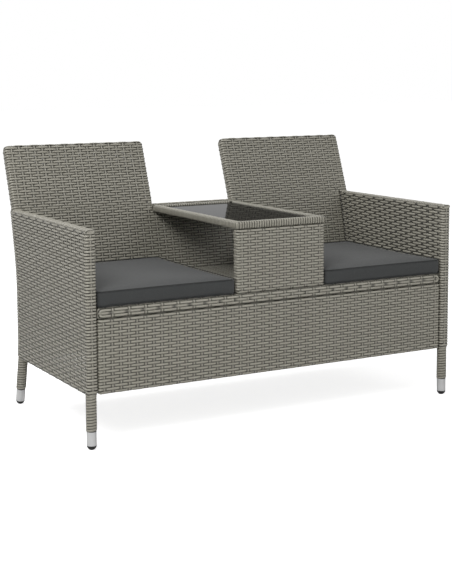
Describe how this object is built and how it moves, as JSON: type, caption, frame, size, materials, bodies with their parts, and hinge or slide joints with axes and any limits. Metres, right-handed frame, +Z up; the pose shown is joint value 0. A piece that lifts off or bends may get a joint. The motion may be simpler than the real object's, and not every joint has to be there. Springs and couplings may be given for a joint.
{
  "type": "companion seat bench",
  "caption": "Companion bench of woven synthetic rattan on a steel tube frame: seats with cushions and raked backrests joined by a small table with a dark glass top.",
  "frame": {"origin": "on the floor, at the middle of the bench's box", "axes": "+X along the bench to the right as one faces it, +Y from front to back, +Z up"},
  "size_m": [1.3318, 0.7106, 0.8604],
  "materials": {
    "weave": "flat grey synthetic rattan strands, slightly glossy, woven over and under",
    "frame_steel": "grey-brown powder coat",
    "silver_paint": "satin silver lacquer",
    "black_cap": "moulded black plastic",
    "table_glass": "dark tempered glass, polished edge",
    "glass_pad": "clear soft pad",
    "cushion_fabric": "plain woven polyester in dark grey",
    "cushion_foam": "open-cell foam",
    "zip_tape": "coil zip on woven tape",
    "zinc_steel": "zinc plated"
  },
  "bodies": {
    "root": {"arm_weave_left": "weave", "arm_weave_right": "weave", "seat_weave": "weave", "apron_weave": "weave", "console_weave": "weave", "back_weave_lower": "weave", "backrest_weave_left": "weave", "backrest_weave_right": "weave", "rim_wrap_front": "weave", "rim_wrap_back": "weave", "rim_wrap_left": "weave", "rim_wrap_right": "weave", "leg_wrap_front_left": "weave", "leg_wrap_front_right": "weave", "leg_wrap_rear_left": "weave", "leg_wrap_rear_right": "weave", "arm_frame_left": "frame_steel", "arm_frame_right": "frame_steel", "seat_frame": "frame_steel", "apron_frame": "frame_steel", "console_frame": "frame_steel", "back_frame": "frame_steel", "table_rim_frame": "frame_steel", "leg_sleeve_front_left": "silver_paint", "leg_sleeve_front_right": "silver_paint", "leg_sleeve_rear_left": "silver_paint", "leg_sleeve_rear_right": "silver_paint", "foot_cap_front_left": "black_cap", "foot_cap_front_right": "black_cap", "foot_cap_rear_left": "black_cap", "foot_cap_rear_right": "black_cap", "glass_pads": "glass_pad", "bolts_long": "zinc_steel", "bolts_short": "zinc_steel", "bolt_washers": "zinc_steel", "threaded_inserts": "zinc_steel"},
    "cushion_left": {"cushion_cover_left": "cushion_fabric", "cushion_foam_left": "cushion_foam", "cushion_zip_left": "zip_tape"},
    "cushion_right": {"cushion_cover_right": "cushion_fabric", "cushion_foam_right": "cushion_foam", "cushion_zip_right": "zip_tape"},
    "glass": {"glass_top": "table_glass"}
  },
  "joints": [
    {"name": "cushion_left_lift", "type": "slide", "parent": "root", "child": "cushion_left", "axis": [0, 0, 1], "range_m": [0, 0.26]},
    {"name": "cushion_right_lift", "type": "slide", "parent": "root", "child": "cushion_right", "axis": [0, 0, 1], "range_m": [0, 0.26]},
    {"name": "glass_lift", "type": "slide", "parent": "root", "child": "glass", "axis": [0, 0, 1], "range_m": [0, 0.06]}
  ]
}
